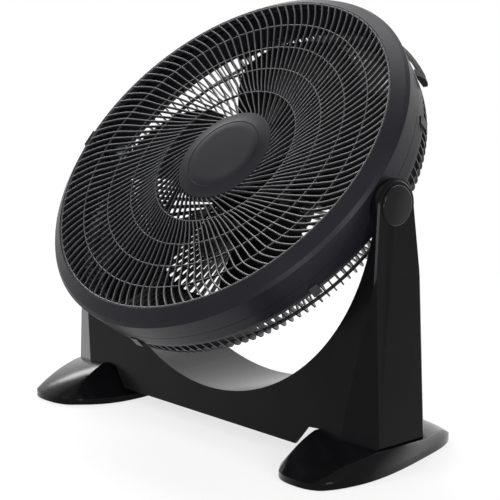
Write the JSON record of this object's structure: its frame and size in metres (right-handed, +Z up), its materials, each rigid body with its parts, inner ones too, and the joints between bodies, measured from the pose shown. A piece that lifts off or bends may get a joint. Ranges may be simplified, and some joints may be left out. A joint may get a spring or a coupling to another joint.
{
  "type": "air circulator fan",
  "caption": "Floor-standing air circulator: round guarded fan head with a carry handle, tilting on side pivots in a bow-shaped stand on two splayed feet",
  "frame": {"origin": "on the floor, midway between the feet, straight below the tilt axis", "axes": "+Z up, -Y the side that the fan faces, +X to the fan's left arm as seen from behind; the tilt axis is parallel to X"},
  "size_m": [0.5676, 0.4065, 0.5212],
  "materials": {
    "guard_plastic": "moulded polypropylene, satin black",
    "shell_plastic": "moulded ABS, satin charcoal black",
    "cap_plastic": "moulded ABS, fine satin charcoal",
    "handle_plastic": "moulded polypropylene, ribbed grip",
    "blade_plastic": "moulded polypropylene, black",
    "stand_plastic": "moulded ABS, satin black",
    "pad_rubber": "moulded rubber",
    "motor_shell_steel": "pressed steel, grey",
    "lamination_steel": "stacked laminations",
    "winding_copper": "varnished copper wire",
    "shaft_steel": "ground steel",
    "bush_bronze": "sintered bronze",
    "fastener_steel": "zinc-plated steel",
    "washer_nylon": "moulded nylon",
    "switch_plastic": "moulded thermoplastic"
  },
  "bodies": {
    "stand": {"foot_pads": "pad_rubber", "foot_screws": "fastener_steel", "left_foot": "stand_plastic", "left_leg_cover": "stand_plastic", "left_pivot_cap": "cap_plastic", "right_foot": "stand_plastic", "right_leg_cover": "stand_plastic", "right_pivot_cap": "cap_plastic", "stand_bow": "stand_plastic"},
    "head": {"front_grille": "guard_plastic", "centre_cap": "cap_plastic", "front_ring": "shell_plastic", "guard_latch": "shell_plastic", "housing_drum": "shell_plastic", "rear_grille": "guard_plastic", "grille_clips": "guard_plastic", "carry_handle": "handle_plastic", "motor_front_shell": "motor_shell_steel", "motor_rear_shell": "motor_shell_steel", "motor_stator": "lamination_steel", "stator_winding": "winding_copper", "front_bush": "bush_bronze", "rear_bush": "bush_bronze", "motor_screws": "fastener_steel", "motor_rear_cover": "shell_plastic", "cover_screws": "fastener_steel", "speed_switch": "switch_plastic", "run_capacitor": "switch_plastic", "cord_gland": "handle_plastic", "left_pivot_bolt": "fastener_steel", "right_pivot_bolt": "fastener_steel", "left_friction_washer": "washer_nylon", "right_friction_washer": "washer_nylon", "left_pivot_nut": "fastener_steel", "right_pivot_nut": "fastener_steel"},
    "fan": {"fan_blade": "blade_plastic", "blade_nut": "handle_plastic", "motor_shaft": "shaft_steel", "motor_rotor": "lamination_steel"},
    "knob": {"speed_knob": "handle_plastic"}
  },
  "joints": [
    {"name": "head_tilt", "type": "hinge", "parent": "stand", "child": "head", "pos_m": [0, 0, 0.3165], "axis": [1, 0, 0], "range_deg": [-45, 50]},
    {"name": "fan_spin", "type": "hinge", "parent": "head", "child": "fan", "pos_m": [0, 0, 0.3165], "axis": [0, -0.7028, 0.7114], "continuous": true},
    {"name": "speed_knob_turn", "type": "hinge", "parent": "head", "child": "knob", "pos_m": [0, 0.07028, 0.24536], "axis": [0, 0.7028, -0.7114], "range_deg": [0, 120]}
  ]
}
